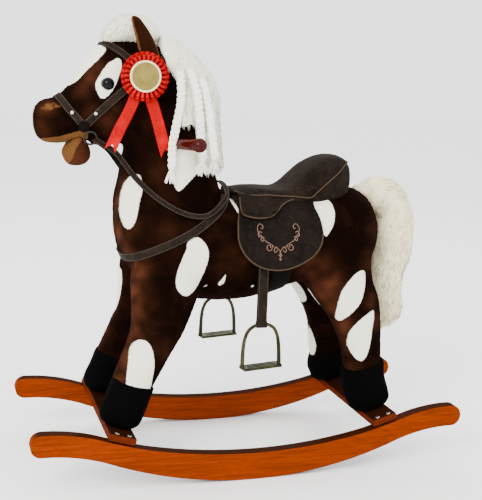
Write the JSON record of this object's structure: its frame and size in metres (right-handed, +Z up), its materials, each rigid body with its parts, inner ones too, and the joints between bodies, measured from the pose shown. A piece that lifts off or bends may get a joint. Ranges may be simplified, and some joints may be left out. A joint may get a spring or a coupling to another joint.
{
  "type": "rocking horse",
  "caption": "Stuffed plush horse with saddle, bridle and swinging stirrups, bolted through its hooves to crossbars on two bent wooden rockers, with a turned handle on each side of the neck.",
  "frame": {"origin": "on the ground under the middle of the rockers' arc, midway between the two rockers", "axes": "+X towards the tail, -X towards the head, +Y towards the horse's right side, +Z up"},
  "size_m": [0.7, 0.2888, 0.7045],
  "materials": {
    "rocker_wood": "satin orange-brown varnish",
    "crossbar_wood": "satin red-brown varnish",
    "frame_wood": "bare",
    "zinc_fixing": "bright zinc",
    "brown_plush": "short pile plush with pale patches",
    "black_plush": "short pile plush",
    "cream_plush": "long pile plush",
    "yarn": "plaited yarn",
    "tan_plush": "short pile plush",
    "eye": "gloss",
    "handle_wood": "gloss varnish",
    "suede": "napped suede cloth",
    "strap": "matt, worn",
    "iron": "antique",
    "ring": "bright",
    "satin": "satin ribbon"
  },
  "bodies": {
    "horse": {"rocker_left": "rocker_wood", "rocker_right": "rocker_wood", "front_crossbar": "crossbar_wood", "rear_crossbar": "crossbar_wood", "screw_front_left_inner": "zinc_fixing", "screw_front_left_outer": "zinc_fixing", "screw_front_right_inner": "zinc_fixing", "screw_front_right_outer": "zinc_fixing", "screw_rear_left_inner": "zinc_fixing", "screw_rear_left_outer": "zinc_fixing", "screw_rear_right_inner": "zinc_fixing", "screw_rear_right_outer": "zinc_fixing", "hoof_bolt_front_left": "zinc_fixing", "hoof_bolt_front_right": "zinc_fixing", "hoof_bolt_rear_left": "zinc_fixing", "hoof_bolt_rear_right": "zinc_fixing", "front_leg_frame": "frame_wood", "rear_leg_frame": "frame_wood", "spine_board": "frame_wood", "neck_post": "frame_wood", "body_plush": "brown_plush", "head_plush": "brown_plush", "eye_left": "eye", "eye_right": "eye", "ear_left": "brown_plush", "ear_right": "brown_plush", "hoof_sock_front_left": "black_plush", "hoof_sock_front_right": "black_plush", "hoof_sock_rear_left": "black_plush", "hoof_sock_rear_right": "black_plush", "handle_left": "handle_wood", "handle_right": "handle_wood", "forelock": "cream_plush", "mane": "cream_plush", "braid_front_left": "yarn", "braid_front_right": "yarn", "braid_middle_left": "yarn", "braid_middle_right": "yarn", "braid_rear_left": "yarn", "braid_rear_right": "yarn", "saddle_seat": "suede", "saddle_flap_left": "suede", "saddle_flap_right": "suede", "girth": "strap", "headstall": "strap", "noseband": "strap", "browband": "strap", "breast_strap": "strap", "bit_ring_left": "ring", "bit_ring_right": "ring", "reins": "strap", "rosette": "satin", "rosette_ribbons": "satin"},
    "leather_left": {"stirrup_leather_left": "strap"},
    "iron_left": {"stirrup_iron_left": "iron"},
    "leather_right": {"stirrup_leather_right": "strap"},
    "iron_right": {"stirrup_iron_right": "iron"},
    "jaw": {"lower_jaw": "tan_plush"},
    "tail": {"tail": "cream_plush"}
  },
  "joints": [
    {"name": "stirrup_leather_left", "type": "hinge", "parent": "horse", "child": "leather_left", "pos_m": [0.01, -0.0975, 0.334], "axis": [0, -1, 0], "range_deg": [-20, 20]},
    {"name": "stirrup_iron_left", "type": "hinge", "parent": "leather_left", "child": "iron_left", "pos_m": [0.01, -0.0975, 0.2345], "axis": [-1, 0, 0], "range_deg": [-15, 60]},
    {"name": "stirrup_leather_right", "type": "hinge", "parent": "horse", "child": "leather_right", "pos_m": [-0.005, 0.0975, 0.334], "axis": [0, -1, 0], "range_deg": [-20, 20]},
    {"name": "stirrup_iron_right", "type": "hinge", "parent": "leather_right", "child": "iron_right", "pos_m": [-0.005, 0.0975, 0.2345], "axis": [1, 0, 0], "range_deg": [-15, 60]},
    {"name": "jaw", "type": "hinge", "parent": "horse", "child": "jaw", "pos_m": [-0.262, 0, 0.524], "axis": [0, -1, 0], "range_deg": [0, 10]},
    {"name": "tail_swing", "type": "hinge", "parent": "horse", "child": "tail", "pos_m": [0.214, 0, 0.437], "axis": [1, 0, 0], "range_deg": [-20, 20]}
  ]
}
